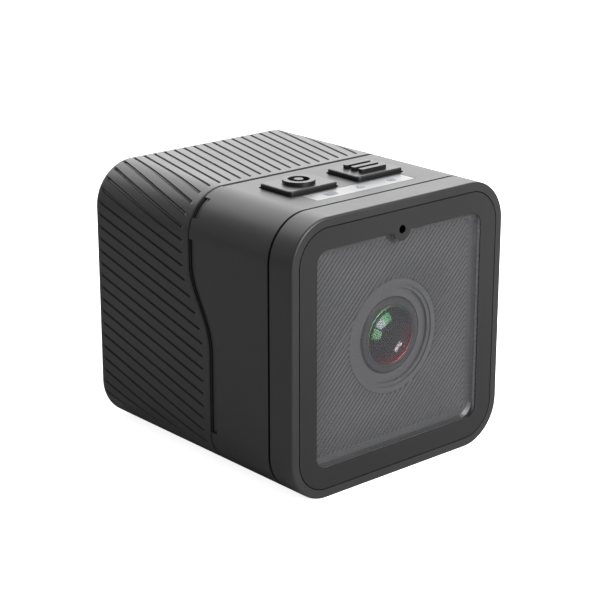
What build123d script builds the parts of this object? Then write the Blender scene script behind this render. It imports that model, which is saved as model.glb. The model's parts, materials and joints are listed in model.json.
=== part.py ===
from build123d import *
import os

# Cube action camera, millimetres. +Z up, -Y is the lens side, +X is the side with the port door.
# Origin: middle of the footprint, on the resting face. "depth" is counted backwards from the
# front glass, "side" is X and "rise" is height counted from the lens axis.

# ---- driving dimensions -------------------------------------------------------------------
BODY = 42.8                  # width and height of the square section
DEPTH = 47.0                 # front glass to back panel
CORNER = 6.9                 # outer corner radius of the section
AXIS_HEIGHT = BODY / 2       # lens axis above the base
WALL = 2.0                   # shell thickness
BEZEL_END = 4.75             # back edge of the front bezel
MIDDLE_START = 5.2           # front edge of the middle housing
SEAM_HIGH = 23.1             # rear seam, upper part
SEAM_LOW = 18.5              # rear seam, lower part
SEAM_TOP_RISE = 10.5         # where the seam starts to bend
SEAM_BOTTOM_RISE = -2.5      # where it runs straight again
SEAM_GAP = 0.35              # width of the rear seal line
BAND = 1.35                  # width of the recessed band in front of the rear seam
BAND_DEPTH = 0.45
WINDOW = 39.7                # front glass, square
WINDOW_CORNER = 5.35
CLEAR = 33.2                 # see-through opening in the printed border
MIC_RISE = 16.9              # microphone hole above the lens axis
MIC_RADIUS = 0.65
TRIM = 35.2                  # trim plate behind the glass, square
MIC_BOSS = 1.75              # boss and border round the microphone hole
PLATE_FACE = 1.6             # depth of the ribbed trim plate behind the glass
THREAD_RADIUS = 5.85         # M12 lens barrel
KEY_WIDTH = 9.4
KEY_LENGTH = 7.15
KEY_SIDE = 6.7               # centre of each key off the middle
KEY_DEPTH = 15.275           # centre of the keys behind the front
KEY_RISE = 0.7               # key top above the housing
KEY_MARK = 0.55              # raised mark on the key
STRIP_DEPTH = 9.2            # centre of the status strip
CORNER_SCREW = 16.8          # bezel screw centres off the axis
FRAME_SCREW = 16.0           # rear frame screw centres off the axis
PIN_SIDE = 20.3              # port door hinge axis
PIN_DEPTH = 12.5
PIN_RADIUS = 0.4
KNUCKLE = 1.1                # rounded hinge edge of the door
DOOR_LOW = -16.0             # lower end of the door, from the lens axis
DOOR_HIGH = 11.0
INSERT_DEPTH = 11.5          # tripod insert centre behind the front
INSERT_BORE = 2.55           # 1/4 inch - 20 thread, wall radius
INSERT_LENGTH = 5.1
SCREEN_RISE = 2.5            # rear screen centre above the lens axis


# ---- placing helpers ----------------------------------------------------------------------
def depth_plane(depth):
    """Upright plane at a depth behind the front; local x is side, local y is rise."""
    return Plane(origin=(0, depth - DEPTH / 2, AXIS_HEIGHT), x_dir=(1, 0, 0), z_dir=(0, -1, 0))


def side_plane(side):
    """Upright plane at a distance off the middle; local x is depth, local y is rise."""
    return Plane(origin=(side, -DEPTH / 2, AXIS_HEIGHT), x_dir=(0, 1, 0), z_dir=(1, 0, 0))


def level_plane(rise):
    """Level plane at a rise from the lens axis; local x is side, local y is depth."""
    return Plane(origin=(0, -DEPTH / 2, AXIS_HEIGHT + rise), x_dir=(1, 0, 0), z_dir=(0, 0, 1))


def slab(start, end, width, height, corner=0.0, at=(0, 0), mode=Mode.ADD):
    """A plate facing forwards, between two depths."""
    with BuildSketch(depth_plane(end)) as outline:
        with Locations(at):
            if corner > 0:
                RectangleRounded(width, height, corner)
            else:
                Rectangle(width, height)
    extrude(outline.sketch, amount=end - start, mode=mode)


def disc(start, end, radius, at=(0, 0), mode=Mode.ADD):
    """A round along the depth, between two depths."""
    with BuildSketch(depth_plane(end)) as outline:
        with Locations(at):
            Circle(radius)
    extrude(outline.sketch, amount=end - start, mode=mode)


def layer(low, high, width, length, corner=0.0, at=(0, 0), mode=Mode.ADD):
    """A level plate between two rises; at is (side, depth)."""
    with BuildSketch(level_plane(low)) as outline:
        with Locations(at):
            if corner > 0:
                RectangleRounded(width, length, corner)
            else:
                Rectangle(width, length)
    extrude(outline.sketch, amount=high - low, mode=mode)


def post(low, high, radius, at=(0, 0), mode=Mode.ADD):
    """An upright round between two rises; at is (side, depth)."""
    with BuildSketch(level_plane(low)) as outline:
        with Locations(at):
            Circle(radius)
    extrude(outline.sketch, amount=high - low, mode=mode)


def brick(side, depth, rise, corner=0.0, mode=Mode.ADD):
    """A block from three (low, high) pairs."""
    centre = ((side[0] + side[1]) / 2, (depth[0] + depth[1]) / 2)
    layer(rise[0], rise[1], side[1] - side[0], depth[1] - depth[0], corner, centre, mode)


def seam_zone(shift, front_part, mode):
    """Keep what lies in front of (or behind) the bent rear seam, moved back by shift."""
    high = SEAM_HIGH + shift
    low = SEAM_LOW + shift
    far = -5 if front_part else 60
    with BuildSketch(side_plane(0)) as zone:
        with BuildLine():
            Line((high, 30), (high, SEAM_TOP_RISE))
            Bezier((high, SEAM_TOP_RISE), (high, 6.0), (low, 3.0), (low, SEAM_BOTTOM_RISE))
            Line((low, SEAM_BOTTOM_RISE), (low, -30))
            Polyline((low, -30), (far, -30), (far, 30), (high, 30))
        make_face()
    extrude(zone.sketch, amount=30, both=True, mode=mode)


def turned(points, mode=Mode.ADD):
    """A ring or rod about the lens axis; points are (radius, depth)."""
    with BuildSketch(level_plane(0)) as section:
        with BuildLine():
            Polyline(*points, close=True)
        make_face()
    revolve(section.sketch, axis=Axis((0, 0, AXIS_HEIGHT), (0, 1, 0)), mode=mode)


def lens(front, edge_front, edge_back, back, rim, seat, bow):
    """A round glass element: domed front, cylinder edge, back face bowed by bow."""
    with BuildSketch(level_plane(0)) as section:
        with BuildLine():
            chord = rim * rim + (edge_front - front) ** 2
            radius = chord / (2 * abs(edge_front - front))
            RadiusArc((0, front), (rim, edge_front), -radius if edge_front > front else radius)
            Line((rim, edge_front), (rim, edge_back))
            Line((rim, edge_back), (seat, edge_back))
            chord_back = seat * seat + (edge_back - back) ** 2
            radius_back = chord_back / (2 * abs(edge_back - back))
            RadiusArc((seat, edge_back), (0, back), radius_back if bow else -radius_back)
            Line((0, back), (0, front))
        make_face()
    revolve(section.sketch, axis=Axis((0, 0, AXIS_HEIGHT), (0, 1, 0)))


FOUR = [(-1, -1), (-1, 1), (1, -1), (1, 1)]
corner_points = [(a * CORNER_SCREW, b * CORNER_SCREW) for a, b in FOUR]
frame_points = [(a * FRAME_SCREW, b * FRAME_SCREW) for a, b in FOUR]

# ---- front: bezel, glass, printed border ----------------------------------------------------
with BuildPart() as front_bezel:
    slab(0, BEZEL_END, BODY, BODY, CORNER)
    front_edges = front_bezel.faces().sort_by(Axis.Y)[0].edges()
    fillet(front_edges, 0.35)
    slab(-1, 1.05, WINDOW + 0.3, WINDOW + 0.3, WINDOW_CORNER + 0.15, mode=Mode.SUBTRACT)
    slab(1.05, 2.6, TRIM + 0.2, TRIM + 0.2, 3.0, mode=Mode.SUBTRACT)
    slab(2.6, BEZEL_END, BODY - 4.4, BODY - 4.4, CORNER - 2.2, mode=Mode.SUBTRACT)
    for spot in corner_points:
        disc(2.6, BEZEL_END, 1.7, spot)
    disc(1.05, 2.6, MIC_BOSS, (0, MIC_RISE))
    disc(0, 2.6, MIC_RADIUS, (0, MIC_RISE), Mode.SUBTRACT)
    for spot in corner_points:
        disc(3.0, BEZEL_END, 0.72, spot, Mode.SUBTRACT)

with BuildPart() as window_mask:
    slab(0, 0.1, WINDOW, WINDOW, WINDOW_CORNER)
    slab(0, 0.1, CLEAR, CLEAR, 2.0, mode=Mode.SUBTRACT)
    disc(0, 0.1, MIC_BOSS, (0, MIC_RISE))
    disc(0, 0.1, MIC_RADIUS, (0, MIC_RISE), Mode.SUBTRACT)

with BuildPart() as front_window:
    slab(0.1, 0.85, WINDOW, WINDOW, WINDOW_CORNER)
    disc(0.1, 0.85, MIC_RADIUS, (0, MIC_RISE), Mode.SUBTRACT)

with BuildPart() as window_adhesive:
    slab(0.85, 1.05, WINDOW - 0.6, WINDOW - 0.6, WINDOW_CORNER - 0.3)
    slab(0.85, 1.05, TRIM + 0.4, TRIM + 0.4, 3.1, mode=Mode.SUBTRACT)

with BuildPart() as trim_plate:
    slab(0.95, 2.4, TRIM, TRIM, 2.9)
    # a coved rim climbs from the ribbed floor to the back of the glass
    with BuildSketch(depth_plane(PLATE_FACE)) as floor_outline:
        RectangleRounded(31.0, 31.0, 1.6)
    with BuildSketch(depth_plane(1.35)) as cove_outline:
        RectangleRounded(32.8, 32.8, 2.3)
    with BuildSketch(depth_plane(0.9)) as rim_outline:
        RectangleRounded(33.9, 33.9, 2.7)
    loft([floor_outline.sketch.face(), cove_outline.sketch.face(), rim_outline.sketch.face()],
         ruled=True, mode=Mode.SUBTRACT)
    disc(0, 3, 8.9, mode=Mode.SUBTRACT)
    disc(0, 3, MIC_BOSS + 0.1, (0, MIC_RISE), Mode.SUBTRACT)

with BuildPart() as microphone:
    slab(3.3, 4.5, 3.8, 2.8, at=(0, MIC_RISE))
    slab(2.6, 3.3, 3.2, 2.4, at=(0, MIC_RISE))
    disc(2.6, 3.6, 0.5, (0, MIC_RISE), Mode.SUBTRACT)

# ---- lens -------------------------------------------------------------------------------------
with BuildPart() as lens_surround:
    turned([(8.85, 1.6), (8.85, 2.45), (9.8, 2.45), (9.8, 3.2), (6.0, 3.2), (6.0, 2.3),
            (7.4, 2.3), (7.4, 1.83), (8.0, 1.83), (8.0, 1.6)])

with BuildPart() as lens_barrel:
    turned([(5.0, 2.05), (5.6, 2.05), (THREAD_RADIUS, 2.3), (THREAD_RADIUS, 15.1), (4.05, 15.1),
            (4.05, 5.25), (5.0, 5.25)])

with BuildPart() as lens_front_ring:
    turned([(4.56, 2.2), (4.72, 2.05), (4.96, 2.05), (4.96, 2.63), (4.56, 2.63)])

with BuildPart() as lens_front_element:
    lens(0.95, 2.25, 2.65, 2.66, 4.52, 4.5, True)
    turned([(0, 2.6), (4.52, 2.6), (4.52, 2.65), (4.95, 2.65), (4.95, 3.9), (3.2, 3.9), (2.2, 3.3),
            (0, 2.9)])

with BuildPart() as lens_spacer:
    turned([(4.2, 3.92), (4.95, 3.92), (4.95, 5.22), (4.2, 5.22)])

with BuildPart() as lens_middle_element:
    lens(5.7, 6.3, 7.5, 8.2, 4.0, 3.9, False)

with BuildPart() as aperture_stop:
    turned([(1.2, 8.4), (4.0, 8.4), (4.0, 8.7), (1.3, 8.7)])

with BuildPart() as lens_rear_element:
    lens(9.0, 9.7, 11.3, 12.1, 4.0, 3.9, False)

with BuildPart() as lens_holder:
    slab(12.0, 19.0, 15.0, 15.0, 1.0)
    slab(17.2, 19.0, 24.0, 6.0, 1.5)
    disc(12.0, 15.5, THREAD_RADIUS + 0.05, mode=Mode.SUBTRACT)
    disc(15.5, 16.0, 3.0, mode=Mode.SUBTRACT)
    slab(16.0, 16.5, 7.7, 7.7, mode=Mode.SUBTRACT)
    slab(16.5, 19.0, 11.0, 11.0, mode=Mode.SUBTRACT)
    for side in (-10.2, 10.2):
        disc(17.4, 19.0, 0.62, (side, 0), Mode.SUBTRACT)

with BuildPart() as ir_filter:
    slab(16.02, 16.4, 7.5, 7.5)

with BuildPart() as image_sensor:
    slab(17.9, 19.0, 8.6, 7.6)
    slab(17.7, 17.9, 6.6, 5.2)

with BuildPart() as sensor_board:
    slab(19.0, 20.0, 24.0, 24.0, 1.0)
    for side in (-10.2, 10.2):
        disc(19.0, 20.0, 0.7, (side, 0), Mode.SUBTRACT)

with BuildPart() as lens_holder_screws:
    for side in (-10.2, 10.2):
        disc(17.6, 20.0, 0.6, (side, 0))
        disc(20.0, 20.7, 1.1, (side, 0))
        slab(20.4, 20.7, 1.3, 0.3, at=(side, 0), mode=Mode.SUBTRACT)

with BuildPart() as sensor_flex:
    slab(20.0, 22.6, 8.0, 0.2, at=(0, -9.0))

# ---- middle housing ---------------------------------------------------------------------------
with BuildPart() as shell_gasket_front:
    slab(BEZEL_END, MIDDLE_START, BODY - 1.0, BODY - 1.0, CORNER - 0.5)
    slab(BEZEL_END, MIDDLE_START, BODY - 3.6, BODY - 3.6, CORNER - 1.8, mode=Mode.SUBTRACT)

with BuildPart() as middle_housing:
    slab(MIDDLE_START, 26, BODY, BODY, CORNER)
    slab(6.6, 27, BODY - 2 * WALL, BODY - 2 * WALL, CORNER - WALL, mode=Mode.SUBTRACT)
    slab(5, 7, 30, 30, 2.5, mode=Mode.SUBTRACT)
    for spot in corner_points:
        disc(5, 7, 0.85, spot, Mode.SUBTRACT)
    # bosses that take the screws of the rear frame
    for side, rise in frame_points:
        boss_end = 21.2 if rise > 0 else 16.6
        with BuildSketch(depth_plane(boss_end)) as boss_outline:
            with Locations((side * 1.05, rise * 1.05)):
                Rectangle(5.2, 5.2)
            RectangleRounded(BODY - 2, BODY - 2, CORNER - 1, mode=Mode.INTERSECT)
        extrude(boss_outline.sketch, amount=4.5)
        disc(boss_end - 3.9, boss_end, 0.82, (side, rise), Mode.SUBTRACT)
    # lips that centre the bezel
    for side in (-18.65, 18.65):
        slab(3.6, MIDDLE_START, 0.9, 20, at=(side, 0))
        slab(MIDDLE_START, 6.6, 1.8, 20, at=(side, 0))
    slab(3.6, MIDDLE_START, 20, 0.9, at=(0, -18.65))
    slab(MIDDLE_START, 6.6, 20, 1.8, at=(0, -18.65))
    seam_zone(0, True, Mode.INTERSECT)
    # recessed band along the rear seam, both sides, and a short one on each top corner
    for side in (-1, 1):
        with BuildSketch(side_plane(side * BODY / 2)) as band:
            with BuildLine():
                Line((SEAM_HIGH, 14.5), (SEAM_HIGH, SEAM_TOP_RISE))
                Bezier((SEAM_HIGH, SEAM_TOP_RISE), (SEAM_HIGH, 6), (SEAM_LOW, 3),
                       (SEAM_LOW, SEAM_BOTTOM_RISE))
                Line((SEAM_LOW, SEAM_BOTTOM_RISE), (SEAM_LOW, -14.9))
                Line((SEAM_LOW, -14.9), (SEAM_LOW - BAND, -14.9))
                Line((SEAM_LOW - BAND, -14.9), (SEAM_LOW - BAND, SEAM_BOTTOM_RISE))
                Bezier((SEAM_LOW - BAND, SEAM_BOTTOM_RISE), (SEAM_LOW - BAND, 3),
                       (SEAM_HIGH - BAND, 6), (SEAM_HIGH - BAND, SEAM_TOP_RISE))
                Line((SEAM_HIGH - BAND, SEAM_TOP_RISE), (SEAM_HIGH - BAND, 14.5))
                Line((SEAM_HIGH - BAND, 14.5), (SEAM_HIGH, 14.5))
            make_face()
        extrude(band.sketch, amount=BAND_DEPTH, both=True, mode=Mode.SUBTRACT)
        with BuildSketch(depth_plane(SEAM_HIGH)) as corner_band:
            with Locations((side * 19.0, 18.9)):
                Rectangle(9.0, 2.8)
            RectangleRounded(BODY - 0.9, BODY - 0.9, CORNER - BAND_DEPTH, mode=Mode.SUBTRACT)
        extrude(corner_band.sketch, amount=BAND, mode=Mode.SUBTRACT)
    # top edge of the housing is eased where the dark seam shows widest
    slab(SEAM_HIGH - 0.3, SEAM_HIGH + 1, 30, 0.8, at=(0, BODY / 2), mode=Mode.SUBTRACT)
    # key openings and status strip
    for side in (-KEY_SIDE, KEY_SIDE):
        layer(18, 23, KEY_WIDTH + 0.5, KEY_LENGTH + 0.5, 0.8, (side, KEY_DEPTH), Mode.SUBTRACT)
    layer(20.55, 22, 20.0, 3.6, 0.3, (0, STRIP_DEPTH), Mode.SUBTRACT)
    for side in (-5.8, 0.0, 6.5):
        post(19, 22, 0.8, (side, STRIP_DEPTH), Mode.SUBTRACT)
    for spot in ((-11.4, STRIP_DEPTH), (11.4, STRIP_DEPTH)):
        post(15.7, 19.5, 1.3, spot)
        post(15.7, 18.7, 0.57, spot, Mode.SUBTRACT)
    # boss round the tripod insert
    post(-20.5, -15.6, 5.2, (0, INSERT_DEPTH))
    post(-22, -16.2, 4.0, (0, INSERT_DEPTH), Mode.SUBTRACT)
    # port bay: door pocket, hinge groove with a rib behind it, and the two port openings
    brick((18.4, 20.0), (11.2, 14.2), (DOOR_LOW - 0.6, DOOR_HIGH + 0.6))
    brick((20.05, 23), (6.7, PIN_DEPTH), (DOOR_LOW - 0.2, DOOR_HIGH + 0.2), mode=Mode.SUBTRACT)
    post(DOOR_LOW - 0.2, DOOR_HIGH + 0.2, KNUCKLE + 0.2, (PIN_SIDE, PIN_DEPTH), Mode.SUBTRACT)
    brick((PIN_SIDE, 23), (PIN_DEPTH - 1, PIN_DEPTH + 1.3), (DOOR_LOW - 0.2, DOOR_HIGH + 0.2),
          mode=Mode.SUBTRACT)
    post(DOOR_LOW - 0.9, DOOR_HIGH + 0.9, PIN_RADIUS, (PIN_SIDE, PIN_DEPTH), Mode.SUBTRACT)
    brick((19, 21), (7.7, 11.15), (-0.1, 10.1), mode=Mode.SUBTRACT)
    brick((19, 21), (9.3, 11.15), (-15.7, -3.7), mode=Mode.SUBTRACT)
    # thumb notch at the free edge of the door
    brick((20.6, 23), (6.15, 6.8), (-5.5, 0.5), mode=Mode.SUBTRACT)

with BuildPart() as tripod_insert:
    post(-21.4, -21.4 + INSERT_LENGTH, 4.0, (0, INSERT_DEPTH))
    post(-21.4, -21.4 + INSERT_LENGTH, INSERT_BORE, (0, INSERT_DEPTH), Mode.SUBTRACT)
    post(-19.2, -18.4, 4.2, (0, INSERT_DEPTH), Mode.SUBTRACT)
    post(-19.3, -18.3, 3.7, (0, INSERT_DEPTH))
    post(-21.4, -21.4 + INSERT_LENGTH, INSERT_BORE, (0, INSERT_DEPTH), Mode.SUBTRACT)

with BuildPart() as bezel_screws:
    for spot in corner_points:
        disc(3.2, 6.6, 0.7, spot)
        disc(6.6, 7.5, 1.35, spot)
        slab(7.2, 7.5, 1.6, 0.35, at=spot, mode=Mode.SUBTRACT)
        slab(7.2, 7.5, 0.35, 1.6, at=spot, mode=Mode.SUBTRACT)


# ---- keys -------------------------------------------------------------------------------------
def key_body(side):
    """A key cap with a flange under the wall and a plunger foot."""
    layer(18.65, 19.25, KEY_WIDTH + 1.4, KEY_LENGTH + 1.4, 0.6, (side, KEY_DEPTH))
    layer(19.25, BODY / 2 + KEY_RISE, KEY_WIDTH, KEY_LENGTH, 0.6, (side, KEY_DEPTH))
    post(17.6, 18.65, 1.2, (side, KEY_DEPTH))


KEY_TOP = BODY / 2 + KEY_RISE

with BuildPart() as ok_button:
    key_body(-KEY_SIDE)
    fillet(ok_button.faces().sort_by(Axis.Z)[-1].edges(), 0.25)
    # raised ring with a dot: confirm
    with BuildSketch(level_plane(KEY_TOP)) as ring_mark:
        with Locations((-KEY_SIDE, KEY_DEPTH)):
            Circle(2.5)
            Circle(1.65, mode=Mode.SUBTRACT)
            Circle(0.7)
    extrude(ring_mark.sketch, amount=KEY_MARK)

with BuildPart() as menu_button:
    key_body(KEY_SIDE)
    fillet(menu_button.faces().sort_by(Axis.Z)[-1].edges(), 0.25)
    # three raised bars: menu
    with BuildSketch(level_plane(KEY_TOP)) as bar_mark:
        with Locations((KEY_SIDE, KEY_DEPTH - 1.75), (KEY_SIDE, KEY_DEPTH), (KEY_SIDE, KEY_DEPTH + 1.75)):
            RectangleRounded(5.2, 0.9, 0.3)
    extrude(bar_mark.sketch, amount=KEY_MARK)

with BuildPart() as key_board:
    brick((-12.6, 12.6), (7.4, 19.8), (14.9, 15.7), 0.8)
    for side in (-11.4, 11.4):
        post(14.9, 15.7, 0.65, (side, STRIP_DEPTH), Mode.SUBTRACT)

with BuildPart() as key_switches:
    for side in (-KEY_SIDE, KEY_SIDE):
        layer(15.7, 16.5, 4.6, 4.6, 0.3, (side, KEY_DEPTH))
        post(16.5, 17.1, 0.8, (side, KEY_DEPTH))

with BuildPart() as key_board_screws:
    for side in (-11.4, 11.4):
        post(14.3, 14.9, 1.05, (side, STRIP_DEPTH))
        post(14.9, 18.5, 0.55, (side, STRIP_DEPTH))

with BuildPart() as status_window:
    layer(20.6, BODY / 2, 19.8, 3.4, 0.25, (0, STRIP_DEPTH))
    for side in (-5.8, 0.0, 6.5):
        post(16.5, 20.6, 0.7, (side, STRIP_DEPTH))

with BuildPart() as status_leds:
    for side in (-5.8, 0.0, 6.5):
        layer(15.7, 16.3, 1.6, 0.9, at=(side, STRIP_DEPTH))

# ---- ports behind the door ----------------------------------------------------------------------
with BuildPart() as port_door:
    brick((20.2, 24), (6.9, PIN_DEPTH), (DOOR_LOW, DOOR_HIGH))
    post(DOOR_LOW, DOOR_HIGH, KNUCKLE, (PIN_SIDE, PIN_DEPTH))
    # the outside follows the round of the housing
    slab(0, 30, BODY, BODY, CORNER, mode=Mode.INTERSECT)
    post(DOOR_LOW, DOOR_HIGH, PIN_RADIUS + 0.05, (PIN_SIDE, PIN_DEPTH), Mode.SUBTRACT)

with BuildPart() as port_door_seal:
    brick((19.5, 20.2), (8.1, 10.8), (0.6, 9.4), 0.2)

with BuildPart() as port_door_pin:
    post(DOOR_LOW - 0.9, DOOR_HIGH + 0.9, PIN_RADIUS, (PIN_SIDE, PIN_DEPTH))

with BuildPart() as usb_port:
    with BuildSketch(side_plane(19.2)) as shell_outline:
        with Locations((9.6, 5.0)):
            SlotOverall(8.94, 3.16, rotation=90)
    extrude(shell_outline.sketch, amount=-7.3)
    with BuildSketch(side_plane(19.2)) as mouth:
        with Locations((9.6, 5.0)):
            SlotOverall(8.34, 2.56, rotation=90)
    extrude(mouth.sketch, amount=-6.4, mode=Mode.SUBTRACT)

with BuildPart() as usb_tongue:
    brick((12.8, 18.4), (9.25, 9.95), (1.65, 8.35))

with BuildPart() as port_board:
    brick((9.0, 18.2), (11.2, 12.0), (-16.4, 14.0))

with BuildPart() as card_slot:
    brick((6.5, 17.7), (9.6, 11.2), (-15.8, -3.6))
    brick((6.0, 18.0), (9.8, 11.4), (-15.4, -4.0), mode=Mode.SUBTRACT)

with BuildPart() as memory_card:
    with BuildSketch(depth_plane(10.95)) as card_outline:
        with BuildLine():
            Polyline((3.7, -15.2), (18.7, -15.2), (18.7, -4.2), (10.2, -4.2), (9.6, -4.8), (9.6, -5.5),
                     (4.7, -5.5), (3.7, -6.5), close=True)
        make_face()
    extrude(card_outline.sketch, amount=1.0)
    brick((18.0, 18.4), (9.95, 10.15), (-13.5, -5.9), mode=Mode.SUBTRACT)

# ---- boards, cell and frame -----------------------------------------------------------------
with BuildPart() as chassis:
    slab(20.0, 22.6, 36.0, 27.6, 1.0)
    slab(20.0, 22.6, 27.6, 36.0, 1.0)
    slab(19, 23, 24.4, 24.4, 1.0, mode=Mode.SUBTRACT)
    for side in (-15.5, 15.5):
        for rise in (-7.5, 7.5):
            disc(20.4, 22.6, 0.72, (side, rise), Mode.SUBTRACT)

with BuildPart() as main_board:
    slab(22.6, 23.6, 35.0, 28.0, 1.0)
    for side in (-15.5, 15.5):
        for rise in (-7.5, 7.5):
            disc(22.6, 23.6, 0.8, (side, rise), Mode.SUBTRACT)

with BuildPart() as board_screws:
    for side in (-15.5, 15.5):
        for rise in (-7.5, 7.5):
            disc(20.6, 23.6, 0.7, (side, rise))
            disc(23.6, 24.3, 1.3, (side, rise))

with BuildPart() as processor:
    slab(23.6, 24.8, 12, 12, at=(-4, 4))

with BuildPart() as memory_chips:
    slab(23.6, 24.6, 7, 8, at=(8, 8))
    slab(23.6, 24.6, 7, 8, at=(8, -2))

with BuildPart() as shield_can:
    slab(23.6, 25.2, 14, 8, 0.5, at=(-5, -8.5))
    slab(23.6, 25.0, 13.6, 7.6, 0.3, at=(-5, -8.5), mode=Mode.SUBTRACT)

with BuildPart() as heat_spreader:
    slab(25.3, 26.1, 30, 24, 1.0, at=(0, 2))

with BuildPart() as battery:
    slab(26.6, 38.2, 31, 30, 1.2)
    for side in (9.0, 12.0):
        disc(25.0, 26.6, 0.4, (side, -12.5))
    slab(23.6, 25.0, 5.5, 2.4, at=(10.5, -12.5))

with BuildPart() as wifi_antenna:
    brick((-18.1, -17.9), (27, 33), (-9, 9))

with BuildPart() as shell_gasket_rear:
    slab(10, 30, BODY - 0.6, BODY - 0.6, CORNER - 0.3)
    slab(9, 31, BODY - 3.9, BODY - 3.9, CORNER - 1.95, mode=Mode.SUBTRACT)
    seam_zone(0, False, Mode.INTERSECT)
    seam_zone(SEAM_GAP, True, Mode.INTERSECT)

with BuildPart() as rear_frame:
    slab(10, 45.2, 38.6, 38.6, CORNER - 2.1)
    slab(9, 46, 36.4, 36.4, CORNER - 3.2, mode=Mode.SUBTRACT)
    slab(38.8, 39.8, 37, 37, 4)
    slab(38, 40, 22, 22, 2, mode=Mode.SUBTRACT)
    slab(38, 40, 9, 2.6, at=(0, -16.4), mode=Mode.SUBTRACT)
    seam_zone(-1.6, False, Mode.INTERSECT)
    for side, rise in frame_points:
        ear = SEAM_HIGH - 1.6 if rise > 0 else SEAM_LOW - 1.6
        with BuildSketch(depth_plane(ear + 2.0)) as ear_outline:
            with Locations((side * 1.05, rise * 1.05)):
                Rectangle(5.2, 5.2)
            RectangleRounded(38.6, 38.6, CORNER - 2.1, mode=Mode.INTERSECT)
        extrude(ear_outline.sketch, amount=2.0)
        disc(ear, ear + 2.0, 0.9, (side, rise), Mode.SUBTRACT)

with BuildPart() as rear_screws:
    for side, rise in frame_points:
        ear = SEAM_HIGH - 1.6 if rise > 0 else SEAM_LOW - 1.6
        disc(ear - 4.1, ear + 2.0, 0.8, (side, rise))
        disc(ear + 2.0, ear + 3.0, 1.4, (side, rise))
        slab(ear + 2.7, ear + 3.0, 1.7, 0.35, at=(side, rise), mode=Mode.SUBTRACT)
        slab(ear + 2.7, ear + 3.0, 0.35, 1.7, at=(side, rise), mode=Mode.SUBTRACT)

# ---- rear shell and screen ------------------------------------------------------------------
with BuildPart() as rear_shell:
    slab(10, DEPTH, BODY, BODY, CORNER)
    fillet(rear_shell.faces().sort_by(Axis.Y)[-1].edges(), 0.6)
    slab(9, 48, BODY - 2 * WALL, BODY - 2 * WALL, CORNER - WALL, mode=Mode.SUBTRACT)
    slab(45.25, 48, 40.0, 40.0, 5.5, mode=Mode.SUBTRACT)
    seam_zone(SEAM_GAP, False, Mode.INTERSECT)

with BuildPart() as rear_panel:
    slab(45.25, 46.9, 39.8, 39.8, 5.4)
    slab(46.0, 47, 30.2, 30.2, 2.6, at=(0, SCREEN_RISE), mode=Mode.SUBTRACT)
    slab(45, 47, 24.6, 24.6, 0.2, at=(0, SCREEN_RISE), mode=Mode.SUBTRACT)
    with BuildSketch(depth_plane(47)) as sound_slots:
        with GridLocations(2.2, 1, 6, 1):
            with Locations((0, -15.6)):
                SlotOverall(3.2, 1.0, rotation=90)
    extrude(sound_slots.sketch, amount=2, mode=Mode.SUBTRACT)

with BuildPart() as screen_glass:
    slab(46.05, 46.9, 30.0, 30.0, 2.5, at=(0, SCREEN_RISE))

with BuildPart() as lcd_panel:
    slab(43.5, 45.2, 27.0, 27.0, at=(0, SCREEN_RISE))
    slab(45.2, 45.9, 24.2, 24.2, at=(0, SCREEN_RISE))

with BuildPart() as backlight_frame:
    slab(41.9, 43.5, 28.4, 28.4, 0.6, at=(0, SCREEN_RISE))

with BuildPart() as screen_flex:
    with BuildSketch(side_plane(-4)) as strip:
        with BuildLine():
            Polyline((23.6, -12.8), (23.6, -16.4), (41.9, -16.4), (41.9, -9.0), (41.7, -9.0), (41.7, -16.2),
                     (23.8, -16.2), (23.8, -12.8), close=True)
        make_face()
    extrude(strip.sketch, amount=8)

with BuildPart() as speaker:
    slab(42.0, 45.2, 14.0, 5.2, 0.6, at=(0, -15.2))
    slab(44.7, 45.2, 11.6, 3.6, 1.0, at=(0, -15.2), mode=Mode.SUBTRACT)
    slab(44.4, 44.9, 10.0, 2.6, 1.0, at=(0, -15.2))

# ---- export ---------------------------------------------------------------------------------
nodes = {
    "front_bezel": front_bezel, "window_mask": window_mask, "front_window": front_window,
    "window_adhesive": window_adhesive, "trim_plate": trim_plate, "microphone": microphone,
    "lens_surround": lens_surround, "lens_barrel": lens_barrel, "lens_front_ring": lens_front_ring,
    "lens_front_element": lens_front_element, "lens_spacer": lens_spacer,
    "lens_middle_element": lens_middle_element, "aperture_stop": aperture_stop,
    "lens_rear_element": lens_rear_element, "lens_holder": lens_holder, "ir_filter": ir_filter,
    "image_sensor": image_sensor, "sensor_board": sensor_board, "lens_holder_screws": lens_holder_screws,
    "sensor_flex": sensor_flex, "shell_gasket_front": shell_gasket_front, "middle_housing": middle_housing,
    "tripod_insert": tripod_insert, "bezel_screws": bezel_screws, "ok_button": ok_button,
    "menu_button": menu_button, "key_board": key_board, "key_switches": key_switches,
    "key_board_screws": key_board_screws, "status_window": status_window, "status_leds": status_leds,
    "port_door": port_door, "port_door_seal": port_door_seal, "port_door_pin": port_door_pin,
    "usb_port": usb_port, "usb_tongue": usb_tongue, "port_board": port_board, "card_slot": card_slot,
    "memory_card": memory_card, "chassis": chassis, "main_board": main_board, "board_screws": board_screws,
    "processor": processor, "memory_chips": memory_chips, "shield_can": shield_can,
    "heat_spreader": heat_spreader, "battery": battery, "wifi_antenna": wifi_antenna,
    "shell_gasket_rear": shell_gasket_rear, "rear_frame": rear_frame, "rear_screws": rear_screws,
    "rear_shell": rear_shell, "rear_panel": rear_panel, "screen_glass": screen_glass,
    "lcd_panel": lcd_panel, "backlight_frame": backlight_frame, "screen_flex": screen_flex,
    "speaker": speaker,
}
os.makedirs("parts", exist_ok=True)
for label, piece in nodes.items():
    piece.part.label = label
    export_step(piece.part, f"parts/{label}.step")
print(len(nodes), "nodes written")
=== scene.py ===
# %% [markdown]
# # A cube action camera around its CAD frame
# The frame holds every housing, board, screw and glass at its true size. This script gives each
# one the finish it has on a real camera and adds what is easier as a formula than as a solid:
# the helical grooves of the rear shell, the fine ribs behind the window and the coated lens.

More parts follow.
